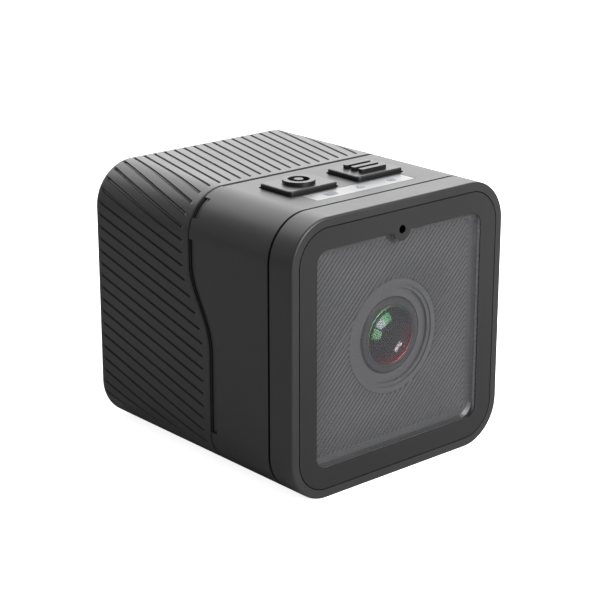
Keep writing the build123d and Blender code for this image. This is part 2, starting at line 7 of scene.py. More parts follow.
# %% Load the frame
import math
import json
import bpy
import bmesh
import numpy as np
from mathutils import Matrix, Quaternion, Vector


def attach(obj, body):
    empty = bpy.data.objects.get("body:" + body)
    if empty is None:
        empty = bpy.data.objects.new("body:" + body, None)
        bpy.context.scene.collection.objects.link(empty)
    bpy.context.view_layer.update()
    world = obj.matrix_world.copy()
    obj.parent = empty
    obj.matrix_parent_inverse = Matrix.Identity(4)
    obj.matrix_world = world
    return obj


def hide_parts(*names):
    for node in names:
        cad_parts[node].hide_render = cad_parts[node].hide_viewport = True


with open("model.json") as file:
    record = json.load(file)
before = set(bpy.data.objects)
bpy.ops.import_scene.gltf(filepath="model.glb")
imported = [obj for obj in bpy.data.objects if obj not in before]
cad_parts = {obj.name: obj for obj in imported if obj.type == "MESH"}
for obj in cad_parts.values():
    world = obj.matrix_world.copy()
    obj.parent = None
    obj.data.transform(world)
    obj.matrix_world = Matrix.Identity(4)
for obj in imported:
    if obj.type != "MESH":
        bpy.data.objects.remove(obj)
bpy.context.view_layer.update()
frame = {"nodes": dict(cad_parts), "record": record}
nodes = frame["nodes"]

# %% [markdown]
# Distances below are in millimetres, counted as the maker would: depth back from the front glass,
# side to the right of the lens and rise above the lens axis. One function turns them to metres.

# %% Millimetres to the frame
MM = 0.001
BODY = 42.8          # square section
DEPTH = 47.0         # front glass to back
HALF = BODY / 2
CORNER = 6.9         # corner radius of the section


def place(side, depth, rise):
    """Points in the frame, in metres, from side, depth and rise in millimetres."""
    side, depth, rise = np.broadcast_arrays(side, depth, rise)
    return np.stack([side, depth - DEPTH / 2, rise + HALF], axis=-1).astype(float) * MM


# %% [markdown]
# A surface here is a grid of points, rows by columns. Neighbouring points make one four-sided
# face. A grid may wrap round in either direction, as a tube or a ring does. Doubled points at a
# pole are merged, and the faces are then turned to point out of the closed shape.

# %% Grid to mesh
def grid_faces(rows, columns, wrap_rows, wrap_columns, start=0):
    """Corner numbers of each face: point, next column, next row and column, next row."""
    index = np.arange(rows * columns).reshape(rows, columns) + start
    if wrap_rows:
        index = np.vstack([index, index[:1]])
    if wrap_columns:
        index = np.hstack([index, index[:, :1]])
    return np.stack([index[:-1, :-1], index[:-1, 1:], index[1:, 1:], index[1:, :-1]], -1).reshape(-1, 4)


def make_piece(name, points, faces, finish, body, sharp=40.0):
    """A mesh object from points and faces: doubles merged, faces outwards, smooth below an angle."""
    mesh = bpy.data.meshes.new(name)
    mesh.from_pydata(points.reshape(-1, 3).tolist(), [], [list(map(int, f)) for f in faces])
    shell = bmesh.new()
    shell.from_mesh(mesh)
    bmesh.ops.remove_doubles(shell, verts=shell.verts, dist=2e-7)
    bmesh.ops.recalc_face_normals(shell, faces=shell.faces)
    shell.to_mesh(mesh)
    shell.free()
    mesh.polygons.foreach_set("use_smooth", np.ones(len(mesh.polygons), bool))
    mesh.set_sharp_from_angle(angle=math.radians(sharp))
    mesh.materials.append(finish)
    piece = bpy.data.objects.new(name, mesh)
    bpy.context.scene.collection.objects.link(piece)
    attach(piece, body)
    print("made", name, len(mesh.polygons), "faces")
    return piece


# %% [markdown]
# Finishes are node trees. One helper adds a node, sets its inputs or options by name, links
# sockets into it and fills its colour ramp. Colours are written as sRGB hex, the way a paint
# chart gives them, and turned to the linear values that light is added up in.

# %% Node and colour helpers
def linear(code):
    """sRGB hex to linear RGBA."""
    srgb = np.array([int(code[i:i + 2], 16) for i in (1, 3, 5)]) / 255
    value = np.where(srgb <= 0.04045, srgb / 12.92, ((srgb + 0.055) / 1.055) ** 2.4)
    return (*value.tolist(), 1.0)


def add(tree, kind, inputs=None, stops=(), **settings):
    """Add a node. Settings go to the input or the option of that name, inputs give a socket or a
    value to an input by name or number, and stops are a ramp's positions and hex colours."""
    node = tree.nodes.new("ShaderNode" + kind)
    for key, value in settings.items():
        label = key.replace("_", " ").lower()
        socket = next((s for s in node.inputs if s.name.lower() == label and s.enabled), None)
        if socket is not None and not hasattr(type(node), key):
            socket.default_value = value
        else:
            setattr(node, key, value)
    for key, source in (inputs or {}).items():
        if isinstance(source, bpy.types.NodeSocket):
            tree.links.new(source, node.inputs[key])
        else:
            node.inputs[key].default_value = source
    if stops:
        elements = node.color_ramp.elements
        while len(elements) < len(stops):
            elements.new(0.5)
        for element, (position, code) in zip(elements, stops):
            element.position, element.color = position, linear(code)
    return node


def new_finish(name):
    """An empty material and its tree."""
    finish = bpy.data.materials.new(name)
    finish.use_nodes = True
    finish.node_tree.nodes.clear()
    return finish, finish.node_tree


# %% [markdown]
# ## Moulded plastic
# The housings are ABS with polycarbonate, injection moulded in a spark-eroded tool. The tool's
# fine pits leave a satin surface with a grain of about 0.1 mm, and the melt leaves faint cloudy
# variation in gloss. The grain is drawn at 0.16 mm so that it just shows.

# %% Moulded plastics
def moulded(name, dark, light, rough, grain_mm=0.16, depth_mm=0.004, gloss=0.5, cloud_mm=9.0):
    """Satin moulded plastic: cloudy colour and gloss from a slow noise, a pitted grain as bump."""
    finish, tree = new_finish(name)
    where = add(tree, "TexCoord").outputs["Object"]
    cloud = add(tree, "TexNoise", {"Vector": where}, Scale=1000 / cloud_mm, Detail=3.0)
    colour = add(tree, "ValToRGB", {"Fac": cloud.outputs["Fac"]}, stops=[(0.35, dark), (0.68, light)])
    grain = add(tree, "TexNoise", {"Vector": where}, Scale=1000 / grain_mm, Detail=2.0, Roughness=0.6)
    pits = add(tree, "Bump", {"Height": grain.outputs["Fac"]}, Strength=1.0, Distance=depth_mm * MM)
    gloss_map = add(tree, "MapRange", {"Value": cloud.outputs["Fac"]},
                    To_Min=rough - 0.03, To_Max=rough + 0.04)
    shader = add(tree, "BsdfPrincipled", {"Base Color": colour.outputs["Color"],
                 "Roughness": gloss_map.outputs["Result"], "Normal": pits.outputs["Normal"]},
                 Specular_IOR_Level=gloss, IOR=1.5)
    add(tree, "OutputMaterial", {"Surface": shader.outputs[0]})
    return finish


finishes = {
    "housing_black": moulded("satin_abs_housing", "#161617", "#1b1b1c", 0.41),
    "shell_black": moulded("satin_abs_shell", "#161617", "#1b1b1c", 0.38),
    "panel_black": moulded("satin_abs_back_panel", "#161617", "#1b1b1c", 0.42),
    "frame_grey": moulded("glass_filled_nylon", "#3a3b3d", "#4a4b4d", 0.62, 0.35, 0.012, 0.4, 2.5),
    "key_black": moulded("satin_abs_key", "#0f0f0f", "#141415", 0.37, 0.14, 0.004, 0.45),
    "port_plastic": moulded("liquid_crystal_polymer", "#141415", "#1c1c1d", 0.5, 0.2, 0.005),
    "card_plastic": moulded("card_resin", "#1c1d20", "#25262a", 0.35, 0.2, 0.003),
    "chip_black": moulded("moulded_epoxy", "#1c1d1e", "#2a2b2d", 0.6, 0.12, 0.006),
    "backlight": moulded("white_backlight_frame", "#d9dadb", "#eceded", 0.5, 0.3, 0.004),
    "led_white": moulded("led_package", "#d8d2b4", "#ece8d4", 0.4, 0.25, 0.003, 0.5, 0.8),
    "seal_rubber": moulded("silicone_rubber", "#0d0d0e", "#151516", 0.7, 0.25, 0.006, 0.3, 3.0),
    "adhesive": moulded("foam_tape", "#111112", "#19191a", 0.85, 0.12, 0.01, 0.25, 1.0),
    "printed_border": moulded("ink_under_hard_coat", "#0b0b0b", "#0f0f0f", 0.10, 1.6, 0.0006, 0.5),
}
print("moulded finishes:", len(finishes))

# %% [markdown]
# ## Metals
# Rolled and stamped steel keeps fine parallel lines from the rolls, so its noise is stretched
# along one direction. Zinc-plated screws are turned, the brass insert is knurled, and the lens
# barrel is aluminium under a black anodised film that is matt against stray light.

# %% Metals
def rolled_metal(name, dark, light, rough, stretch, line_mm, depth_mm=0.002, metal=1.0):
    """Metal with fine lines along one axis: a noise stretched along it drives colour, gloss and bump."""
    finish, tree = new_finish(name)
    where = add(tree, "TexCoord").outputs["Object"]
    turned = add(tree, "Mapping", {"Vector": where}, Scale=tuple(1 / s for s in stretch))
    lines = add(tree, "TexNoise", {"Vector": turned.outputs["Vector"]}, Scale=1000 / line_mm, Detail=2.0)
    colour = add(tree, "ValToRGB", {"Fac": lines.outputs["Fac"]}, stops=[(0.3, dark), (0.7, light)])
    gloss_map = add(tree, "MapRange", {"Value": lines.outputs["Fac"]},
                    To_Min=rough - 0.05, To_Max=rough + 0.08)
    bump = add(tree, "Bump", {"Height": lines.outputs["Fac"]}, Strength=0.8, Distance=depth_mm * MM)
    shader = add(tree, "BsdfPrincipled", {"Base Color": colour.outputs["Color"],
                 "Roughness": gloss_map.outputs["Result"], "Normal": bump.outputs["Normal"]}, Metallic=metal)
    add(tree, "OutputMaterial", {"Surface": shader.outputs[0]})
    return finish


def knurled_brass():
    """Turned brass with a straight knurl: a wave round the insert's axis, 0.5 mm apart."""
    finish, tree = new_finish("knurled_brass")
    where = add(tree, "TexCoord").outputs["Object"]
    centred = add(tree, "Mapping", {"Vector": where}, Location=(0, 12 * MM, 0))     # the insert's axis
    parts = add(tree, "SeparateXYZ", {"Vector": centred.outputs["Vector"]})
    turn = add(tree, "Math", {0: parts.outputs["Y"], 1: parts.outputs["X"]}, operation="ARCTAN2")
    teeth = add(tree, "Math", {0: turn.outputs[0], 1: 50.0}, operation="MULTIPLY")
    ridge = add(tree, "Math", {0: teeth.outputs[0]}, operation="SINE")
    tarnish = add(tree, "TexNoise", {"Vector": where}, Scale=900.0, Detail=4.0)
    colour = add(tree, "ValToRGB", {"Fac": tarnish.outputs["Fac"]}, stops=[
        (0.3, "#a97f3a"), (0.7, "#d8b468")])
    bump = add(tree, "Bump", {"Height": ridge.outputs[0]}, Strength=0.5, Distance=0.00006)
    shader = add(tree, "BsdfPrincipled", {"Base Color": colour.outputs["Color"],
                 "Normal": bump.outputs["Normal"]}, Metallic=1.0, Roughness=0.3)
    add(tree, "OutputMaterial", {"Surface": shader.outputs[0]})
    return finish


finishes.update({
    "screw_steel": rolled_metal("zinc_plated_steel", "#8f9296", "#b4b7ba", 0.32, (1, 9, 1), 0.1),
    "port_steel": rolled_metal("stamped_stainless", "#9b9c9d", "#bdbebf", 0.28, (12, 1, 1), 0.08),
    "switch_metal": rolled_metal("switch_cover_steel", "#96989a", "#b6b8ba", 0.3, (12, 1, 1), 0.08),
    "spreader_aluminium": rolled_metal("rolled_aluminium", "#c3c5c7", "#dcdddf", 0.3, (1, 1, 16), 0.12),
    "lens_metal": rolled_metal("black_anodised_aluminium", "#1f1f21", "#262629", 0.5, (1, 10, 1), 0.4,
                               0.0004, 0.2),
    "insert_brass": knurled_brass(),
})
print("metal finishes ready, in all", len(finishes))

# %% [markdown]
# ## Boards, films and the cell
# A circuit board is glass-epoxy under green solder resist. Copper tracks 0.2 to 0.3 mm wide
# stand a hair proud, so they catch light as thin lines. The flexible circuits are amber
# polyimide with the same tracks. The cell is a foil pouch wrapped in grey tape.

# %% Boards and films
def tracked(name, ground, track, rough, pitch_mm):
    """Solder resist over tracks: a small-cell Voronoi edge gives the routed lines, raised slightly."""
    finish, tree = new_finish(name)
    where = add(tree, "TexCoord").outputs["Object"]
    cells = add(tree, "TexVoronoi", {"Vector": where}, Scale=1000 / pitch_mm, Randomness=0.45,
                feature="F1", distance="CHEBYCHEV")
    line = add(tree, "ValToRGB", {"Fac": cells.outputs["Distance"]}, stops=[
        (0.42, "#000000"), (0.47, "#ffffff"), (0.56, "#ffffff"), (0.6, "#000000")])
    tint = add(tree, "TexNoise", {"Vector": where}, Scale=150.0, Detail=3.0)
    base = add(tree, "ValToRGB", {"Fac": tint.outputs["Fac"]}, stops=[(0.3, ground), (0.8, track)])
    mix = add(tree, "Mix", {0: line.outputs["Color"], 6: base.outputs["Color"], 7: linear(track)},
              data_type="RGBA")
    bump = add(tree, "Bump", {"Height": line.outputs["Color"]}, Strength=0.7, Distance=0.00003)
    shader = add(tree, "BsdfPrincipled", {"Base Color": mix.outputs[2], "Normal": bump.outputs["Normal"]},
                 Roughness=rough, Specular_IOR_Level=0.5)
    add(tree, "OutputMaterial", {"Surface": shader.outputs[0]})
    return finish


finishes.update({
    "circuit_board": tracked("solder_resist_green", "#0e3a28", "#2a6a48", 0.3, 1.4),
    "flex_film": tracked("polyimide_film", "#8a5516", "#b9782a", 0.35, 1.1),
    "sensor_silicon": tracked("sensor_silicon", "#23263a", "#3c4a63", 0.12, 0.8),
    "battery_wrap": tracked("cell_tape", "#6c6f75", "#84878c", 0.45, 6.0),
    "lcd": moulded("polariser_film", "#0c0d10", "#121317", 0.1, 0.8, 0.0008),
})
print("finishes so far:", len(finishes))

# %% [markdown]
# ## Clear parts
# The front window is cast acrylic under a hard coat. A clear pane mirrors little straight on and
# far more at a glancing view, and lets the rest through. Mixing a mirror over a transparent
# shader by that share gives it with no bending, which a thin pane hardly shows anyway. Most of
# the window's pale veil is haze that scatters in the coat, because a scattered veil comes out
# cleaner in a short render than a weak mirror does.

# %% Clear parts
def schlick(tree, head_on):
    """Share mirrored: head_on plus the rest times (1 - cosine) to the fifth, the same from both sides."""
    facing = add(tree, "LayerWeight", Blend=0.5)
    steep = add(tree, "Math", {0: facing.outputs["Facing"], 1: 5.0}, operation="POWER")
    return add(tree, "MapRange", {"Value": steep.outputs[0]}, To_Min=head_on, To_Max=1.0).outputs["Result"]


def clear_pane(name, tint, rough, head_on=0.04, haze=0.0, cloud_mm=14.0):
    """See-through tint under a mirror by Schlick's term, with a little scattered haze in the coat."""
    finish, tree = new_finish(name)
    where = add(tree, "TexCoord").outputs["Object"]
    cloud = add(tree, "TexNoise", {"Vector": where}, Scale=1000 / cloud_mm, Detail=3.0)
    gloss_map = add(tree, "MapRange", {"Value": cloud.outputs["Fac"]},
                    To_Min=rough * 0.6, To_Max=rough * 1.6)
    haze_map = add(tree, "MapRange", {"Value": cloud.outputs["Fac"]},
                   To_Min=haze * 0.95, To_Max=haze * 1.05)
    through = add(tree, "BsdfTransparent", Color=linear(tint))
    scatter = add(tree, "BsdfDiffuse", Color=linear("#f4f4f5"))
    mirror = add(tree, "BsdfGlossy", {"Roughness": gloss_map.outputs["Result"]}, Color=(1, 1, 1, 1))
    body = add(tree, "MixShader", {0: haze_map.outputs["Result"], 1: through.outputs[0],
                                   2: scatter.outputs[0]})
    surface = add(tree, "MixShader", {0: schlick(tree, head_on), 1: body.outputs[0], 2: mirror.outputs[0]})
    add(tree, "OutputMaterial", {"Surface": surface.outputs[0]})
    return finish


def screen_cover():
    """Cover glass over a switched-off screen: glossy black with faint wipe marks in the gloss."""
    finish, tree = new_finish("screen_cover_glass")
    where = add(tree, "TexCoord").outputs["Object"]
    smear = add(tree, "TexNoise", {"Vector": where}, Scale=120.0, Detail=5.0, Distortion=1.5)
    gloss_map = add(tree, "MapRange", {"Value": smear.outputs["Fac"]}, To_Min=0.03, To_Max=0.14)
    tone = add(tree, "ValToRGB", {"Fac": smear.outputs["Fac"]}, stops=[
        (0.3, "#08090b"), (0.8, "#0e1013")])
    shader = add(tree, "BsdfPrincipled", {"Base Color": tone.outputs["Color"],
                 "Roughness": gloss_map.outputs["Result"]}, IOR=1.52, Coat_Weight=0.5, Coat_Roughness=0.03)
    add(tree, "OutputMaterial", {"Surface": shader.outputs[0]})
    return finish


def milky_strip():
    """Milky polycarbonate: pale and slightly translucent, its tone clouded by a slow noise."""
    finish, tree = new_finish("milky_polycarbonate")
    where = add(tree, "TexCoord").outputs["Object"]
    cloud = add(tree, "TexNoise", {"Vector": where}, Scale=260.0, Detail=3.0)
    tone = add(tree, "ValToRGB", {"Fac": cloud.outputs["Fac"]}, stops=[
        (0.3, "#626365"), (0.75, "#6e7072")])
    shader = add(tree, "BsdfPrincipled", {"Base Color": tone.outputs["Color"]}, Roughness=0.3,
                 Subsurface_Weight=0.2, Subsurface_Scale=0.0008)
    add(tree, "OutputMaterial", {"Surface": shader.outputs[0]})
    return finish


finishes.update({
    "window_glass": clear_pane("cast_acrylic_window", "#f7f7f8", 0.03, 0.004, 0.014),
    "filter_glass": clear_pane("infrared_filter", "#8fc0c4", 0.03, 0.05, 0.01),
    "screen_cover": screen_cover(),
    "strip_diffuser": milky_strip(),
})
print("clear finishes ready")

# %% [markdown]
# ## Trim plastic
# The plate behind the window and the stepped ring round the lens are dark grey ABS. They look
# lighter than the housing because they sit under the front light, a touch blue on the ring. The
# plate's finish carries painted shade on its floor between the ribs, on its cove and on its wall,
# and its rim keeps the full tone as a painted lit strip.

# %% Trim plastic
def trim_plate_with_painted_shade():
    """Trim plastic with painted light and shade in bands out from the lens axis: deep painted shade on the
    floor between the ribs, lighter painted shade on the cove, deep painted shade on the wall, and the rim at
    full tone as a painted lit strip.
    """
    finish = moulded("satin_abs_trim_painted_shade", "#2e2e2f", "#343435", 0.32, 0.2, 0.003)
    tree = finish.node_tree
    shader = next(n for n in tree.nodes if n.type == "BSDF_PRINCIPLED")
    tone = shader.inputs["Base Color"].links[0].from_socket
    where = next(n for n in tree.nodes if n.type == "TEX_COORD").outputs["Object"]
    centred = add(tree, "Mapping", {"Vector": where}, Location=(0, 0, -HALF * MM))
    apart = add(tree, "VectorMath", {0: centred.outputs[0]}, operation="ABSOLUTE")
    parts = add(tree, "SeparateXYZ", {"Vector": apart.outputs[0]})
    reach = add(tree, "Math", {0: parts.outputs["X"], 1: parts.outputs["Z"]}, operation="MAXIMUM")
    across = add(tree, "MapRange", {"Value": reach.outputs[0]}, From_Min=15.0 * MM, From_Max=18.0 * MM)
    # Painted light and shade by distance from the axis: near black on the floor between the ribs, mid grey
    # on the cove, dark on the wall, white on the rim as a painted lit strip.
    painted_shade_and_light = add(tree, "ValToRGB", {"Fac": across.outputs["Result"]}, stops=[
        (0.14, "#080808"), (0.17, "#808080"), (0.46, "#707070"), (0.50, "#202020"),
        (0.64, "#202020"), (0.67, "#ffffff")])
    mix = add(tree, "Mix", {0: 1.0, 6: tone, 7: painted_shade_and_light.outputs["Color"]}, data_type="RGBA",
              blend_type="MULTIPLY")
    lift = add(tree, "Mix", {0: 1.0, 6: mix.outputs[2], 7: mix.outputs[2]}, data_type="RGBA",
               blend_type="ADD")
    tree.links.new(lift.outputs[2], shader.inputs["Base Color"])
    matt = add(tree, "MapRange", {"Value": reach.outputs[0]}, From_Min=15.3 * MM, From_Max=15.6 * MM,
               To_Min=0.85, To_Max=0.3)
    tree.links.new(matt.outputs["Result"], shader.inputs["Roughness"])
    return finish


PLATE_FACE = 1.6     # depth of the plate's floor
finishes["trim_plastic"] = trim_plate_with_painted_shade()
rib_plastic = moulded("satin_abs_ribs", "#3e3e3f", "#434344", 0.6, 0.5, 0.001, 0.3)
ring_plastic = moulded("satin_abs_lens_ring", "#3b3b3e", "#404043", 0.4, 0.2, 0.003)
print("trim finishes: floor, ribs and lens ring")

# %% [markdown]
# ## Coated lens glass
# Each face of a camera lens carries thin layers that cancel reflections. What is left over is
# weak and coloured: green and blue-white on the outer dome, red and magenta on the hollow face
# behind it. A reflection that is coloured by its place on the glass stands in for those layers,
# with more mirror between two radii. On the dome and the hollow that colour is a painted
# reflection: the mirror is bright only in the wedge where a lamp's reflection falls and dark
# elsewhere, and on the dome a painted dark line splits the patch in two. The hollow face is
# closed by a dark ground, painted shade standing in for the black barrel and the dark inside of
# the lens behind it, and on its lower right it carries a soft red painted reflection.

# %% Coated lens glass
def around_axis(tree, where):
    """Angle about the lens axis as 0 to 1, starting at the right and going anticlockwise."""
    centred = add(tree, "Mapping", {"Vector": where}, Location=(0, 0, -HALF * MM))
    parts = add(tree, "SeparateXYZ", {"Vector": centred.outputs["Vector"]})
    angle = add(tree, "Math", {0: parts.outputs["Z"], 1: parts.outputs["X"]}, operation="ARCTAN2")
    share = add(tree, "MapRange", {"Value": angle.outputs[0]}, From_Min=-math.pi, From_Max=math.pi)
    return share.outputs["Result"], parts


def band(tree, value, inner, outer, soft, top):
    """A share that rises to top at inner, holds, and falls to nothing at outer, all in mm."""
    rise = add(tree, "MapRange", {"Value": value}, From_Min=(inner - soft) * MM, From_Max=inner * MM,
               To_Max=top, interpolation_type="SMOOTHSTEP")
    fall = add(tree, "MapRange", {"Value": value}, From_Min=(outer - soft) * MM, From_Max=outer * MM,
               To_Min=1.0, To_Max=0.0, interpolation_type="SMOOTHSTEP")
    return add(tree, "Math", {0: rise.outputs["Result"], 1: fall.outputs["Result"]},
               operation="MULTIPLY").outputs[0]


def coated_glass(name, stops, strength, rough, clear="#c9ced2", ring=None, haze_and_painted_reflection=None, ground=None):
    """Coloured mirror over tinted see-through glass. The colour follows the angle round the axis.
    ring = (inner, outer, soft, share) adds mirror between two radii, haze_and_painted_reflection =
    (stops, the same four numbers) adds a soft tint that scatters, haze on the dome and a painted red
    reflection on the hollow, and ground closes the glass with a dark colour, painted shade for the
    dark lens behind it."""
    finish, tree = new_finish(name)
    where = add(tree, "TexCoord").outputs["Object"]
    share, parts = around_axis(tree, where)
    flat = add(tree, "CombineXYZ", {"X": parts.outputs["X"], "Y": parts.outputs["Z"]})
    radius = add(tree, "VectorMath", {"Vector": flat.outputs[0]}, operation="LENGTH").outputs["Value"]
    hue = add(tree, "ValToRGB", {"Fac": share}, stops=stops)
    # The dark ground is painted shade for the dark lens behind the glass.
    if ground:
        body = add(tree, "BsdfDiffuse", Color=linear(ground)).outputs[0]
    else:
        body = add(tree, "BsdfTransparent", Color=linear(clear)).outputs[0]
    # A scattering tint: haze on the dome, a painted red reflection on the hollow.
    if haze_and_painted_reflection:
        tint = add(tree, "ValToRGB", {"Fac": share}, stops=haze_and_painted_reflection[0])
        scatter = add(tree, "BsdfDiffuse", {"Color": tint.outputs["Color"]})
        body = add(tree, "MixShader", {0: band(tree, radius, *haze_and_painted_reflection[1:]), 1: body,
                                       2: scatter.outputs[0]}).outputs[0]
    mirror = add(tree, "BsdfGlossy", {"Color": hue.outputs["Color"]}, Roughness=rough)
    weight = schlick(tree, strength)
    if ring:
        weight = add(tree, "Math", {0: weight, 1: band(tree, radius, *ring)}, operation="ADD",
                     use_clamp=True).outputs[0]
    surface = add(tree, "MixShader", {0: weight, 1: body, 2: mirror.outputs[0]})
    add(tree, "OutputMaterial", {"Surface": surface.outputs[0]})
    return finish


# Painted reflection: the mirror is white and green only in the upper-left wedge where the dome lamp's
# reflection falls and dark elsewhere, with a painted dark line at 0.912 to 0.920 splitting it in two; the
# ring band sets the radii where it shows. The grey scattering tint is haze.
dome_coating_and_painted_reflection = coated_glass("broadband_coating_dome_painted_reflection", [
    (0.0, "#101412"), (0.5, "#101412"), (0.772, "#101412"), (0.784, "#4cc06a"), (0.83, "#9fe0ac"),
    (0.86, "#e8f6f0"), (0.908, "#d8ece4"), (0.912, "#0c100e"), (0.920, "#0c100e"), (0.924, "#9ccfa2"),
    (0.985, "#80c888"), (0.993, "#101412"), (1.0, "#101412")], 0.004, 0.03,
    ring=(2.75, 4.0, 0.12, 0.1), haze_and_painted_reflection=([(0.0, "#2b2b2e"), (1.0, "#2b2b2e")], 0.0, 6.0, 0.5, 0.45))
# Painted reflection: the mirror is white at the lower right where the hollow lamp's reflection falls and red
# round it; the red scattering tint is a painted reflection of the red crescent; the dark ground is painted
# shade for the dark lens behind.
inner_coating_painted_reflection_and_shade = coated_glass("magenta_coating_inner_painted_reflection_and_shade", [
    (0.0, "#301820"), (0.2, "#c06070"), (0.27, "#ff9aa8"), (0.34, "#fff0f2"), (0.42, "#fff4f6"),
    (0.46, "#ff8a98"), (0.52, "#c03048"), (0.58, "#181820"), (1.0, "#16181c")], 0.04, 0.06,
    haze_and_painted_reflection=([(0.0, "#141416"), (0.12, "#1c1418"), (0.24, "#b84058"), (0.36, "#c84860"), (0.47, "#b84058"),
      (0.56, "#1c1418"), (1.0, "#141416")], 4.2, 5.9, 1.2, 0.9), ground="#29292c")
rim_coating = coated_glass("coating_run_out", [
    (0.0, "#c8f05a"), (0.1, "#4a90ff"), (0.17, "#3a3058"), (0.25, "#ff4058"), (0.5, "#ff5a6a"),
    (0.585, "#6a78ff"), (0.67, "#6affc0"), (0.75, "#d8ff6a"), (0.87, "#8affb8"), (1.0, "#c8f05a")],
    0.2, 0.3)
finishes["lens_glass"] = coated_glass("amber_coating_deep", [
    (0.0, "#c8b46a"), (0.4, "#8088a8"), (0.75, "#c8b46a"), (1.0, "#c8b46a")], 0.006, 0.05, "#8c8c94")
print("lens coatings ready")

# %% [markdown]
# ## Dress the CAD parts
# Every carried part takes the finish of its slot in the record, so the two never disagree.

# %% Dress the CAD parts
slot_of = {part["node"]: part["material_slot"] for part in frame["record"]["subparts"]}
mesh_cover = moulded("acoustic_mesh", "#030303", "#070707", 0.8, 0.12, 0.01, 0.2, 0.4)
special = {"lens_surround": ring_plastic, "microphone": mesh_cover}
for node_name, node in nodes.items():
    finish = special.get(node_name, finishes[slot_of[node_name]])
    for holder in node.material_slots:
        holder.material = finish
print("dressed", len(nodes), "parts")

# %% [markdown]
# ## Rear shell
# The shell is one moulding whose grip is cut with shallow grooves. They run round the body like
# the thread of a screw, 15 degrees off the depth, and fade out before either edge. The outline
# is a rounded square, so the surface is a function of how far round it a point lies and how far
# back. The columns of the grid lean with the grooves, which keeps every groove clean.

# %% Rear shell outline and seam
SIDE = BODY - 2 * CORNER
ARC = math.pi / 2 * CORNER
ROUND = 4 * (SIDE + ARC)


def outline(along, inset):
    """Side and rise at a distance along the rounded square, from the middle of the left side up."""
    travel = np.mod(along + SIDE / 2, ROUND)
    which = np.floor(travel / (SIDE + ARC)).astype(int)
    rest = travel - which * (SIDE + ARC)
    angle = np.clip((rest - SIDE) / CORNER, 0, math.pi / 2)
    run = np.minimum(rest, SIDE) - SIDE / 2 + (CORNER - inset) * np.sin(angle)
    out = SIDE / 2 + (CORNER - inset) * np.cos(angle)
    side = np.choose(which, [-out, run, out, -run])
    rise = np.choose(which, [run, out, -run, -out])
    return side, rise


def seam_depth(rise):
    """Depth of the rear seam at a rise: 23.1 above, 18.5 below, a smooth S between 10.5 and -2.5."""
    t = np.linspace(0, 1, 60)
    weights = [(1 - t) ** 3, 3 * t * (1 - t) ** 2, 3 * t * t * (1 - t), t ** 3]
    bend_rise = sum(w * r for w, r in zip(weights, (10.5, 6.0, 3.0, -2.5)))
    bend_depth = sum(w * d for w, d in zip(weights, (23.1, 23.1, 18.5, 18.5)))
    return np.interp(rise, bend_rise[::-1], bend_depth[::-1])


def smooth_step(value, low, high):
    """0 below low, 1 above high, an S curve between."""
    t = np.clip((value - low) / (high - low), 0, 1)
    return t * t * (3 - 2 * t)


# %% Rear shell surface
GROOVES = 80
PITCH = ROUND / GROOVES
LEAN = 0.266                 # side step per millimetre of depth, 15 degrees
GROOVE_END = 46.2            # where the grooves stop at the back
FIRST = 13.6                 # a groove crosses here, measured at the back end
GROOVE_DEPTH = 0.34


def grooved_shell():
    """Closed ring: outer face front to back, rounded rear edge, rim, inner face back to front."""
    step = np.array([-1.0, -0.52, -0.27, -0.16, 0.0, 0.16, 0.27, 0.52])
    cut = np.array([0.0, 0.0, 0.0, 0.8, 1.0, 0.8, 0.0, 0.0])
    start = (FIRST + PITCH * np.arange(GROOVES)[:, None] + step).reshape(1, -1)
    cut = np.tile(cut, GROOVES)[None, :]
    share = np.concatenate([np.linspace(0, 0.1, 14), np.linspace(0.1, 0.95, 44)[1:],
                            np.linspace(0.95, 1, 10)[1:]])[:, None]
    back = DEPTH - 0.6
    depth = np.full((share.size, start.size), 30.0)
    for _ in range(25):      # the seam depends on the rise, which depends on the depth
        along = start - LEAN * (GROOVE_END - np.minimum(depth, GROOVE_END))
        side, rise = outline(along, 0.0)
        depth = (seam_depth(rise) + 0.35) * (1 - share) + back * share
    front = seam_depth(rise) + 0.35
    window = smooth_step(depth - front, 1.3, 1.75) * smooth_step(GROOVE_END - depth, 0.0, 0.35)
    edge = 0.16 * (1 - np.sqrt(1 - np.clip(1 - (depth - front) / 0.16, 0, 1) ** 2))
    side, rise = outline(along, cut * window * GROOVE_DEPTH + edge)
    rows = [place(side, depth, rise)]
    turn = np.linspace(0, math.pi / 2, 7)[1:]
    insets = list(0.6 * (1 - np.cos(turn))) + [1.4, 1.4, 2.0]
    depths = list(back + 0.6 * np.sin(turn)) + [DEPTH, 45.25, 45.25]
    for inset, at in zip(insets, depths):
        side, rise = outline(along[-1:], inset)
        rows.append(place(side, at, rise))
    for part in np.linspace(0, 1, 12):
        lean = along[-1:] * (1 - part) + along[:1] * part
        side, rise = outline(lean, 2.0)
        at = 45.0 * (1 - part) + (seam_depth(rise) + 0.35) * part
        rows.append(place(side, at, rise))
    points = np.vstack(rows)
    faces = grid_faces(points.shape[0], points.shape[1], True, True)
    return make_piece("grooved_rear_shell", points, faces, finishes["shell_black"], "camera", 32.0)


shell = grooved_shell()
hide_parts("rear_shell")

# %% [markdown]
# ## Ribbed plate behind the window
# The plate's floor carries half-round ribs 0.66 mm apart that rise to the right at 45 degrees.
# Each rib is a short ridge laid along a line, so only the ends of each line are worked out:
# where it meets the plate's rounded edge, the round hole for the lens, or the microphone's notch.

# %% Ribs
RIB_PITCH = 0.658
MIC_RISE = 16.9        # microphone above the lens axis
RIM = 17.3             # middle of the plate's flat rim, left and right
RIM_DEPTH = 0.95


